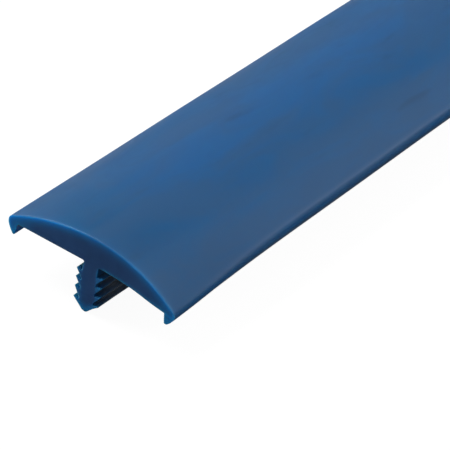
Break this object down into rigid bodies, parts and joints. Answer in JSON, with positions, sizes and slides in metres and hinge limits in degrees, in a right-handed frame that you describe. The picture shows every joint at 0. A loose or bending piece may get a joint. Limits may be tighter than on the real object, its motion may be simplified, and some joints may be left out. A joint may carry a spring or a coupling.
{
  "type": "domed tee moulding",
  "caption": "Domed plastic tee moulding with down-turned edge lips and a barbed tongue that presses into a groove in a panel's edge.",
  "frame": {"origin": "on the seat plane, where the crown lies on the panel's edge, in the middle of the tongue's width and of the strip's length", "axes": "+Z out of the panel, through the crown's apex; +Y along the strip; +X across it, towards the right lip"},
  "size_m": [0.038, 0.1524, 0.0162],
  "materials": {
    "blue_plastic": "satin extruded plastic, slightly translucent, faint lines along its length and duller cut ends"
  },
  "bodies": {
    "root": {"crown": "blue_plastic", "left_lip": "blue_plastic", "right_lip": "blue_plastic", "stem": "blue_plastic", "left_barbs": "blue_plastic", "right_barbs": "blue_plastic", "nose": "blue_plastic"}
  },
  "joints": []
}
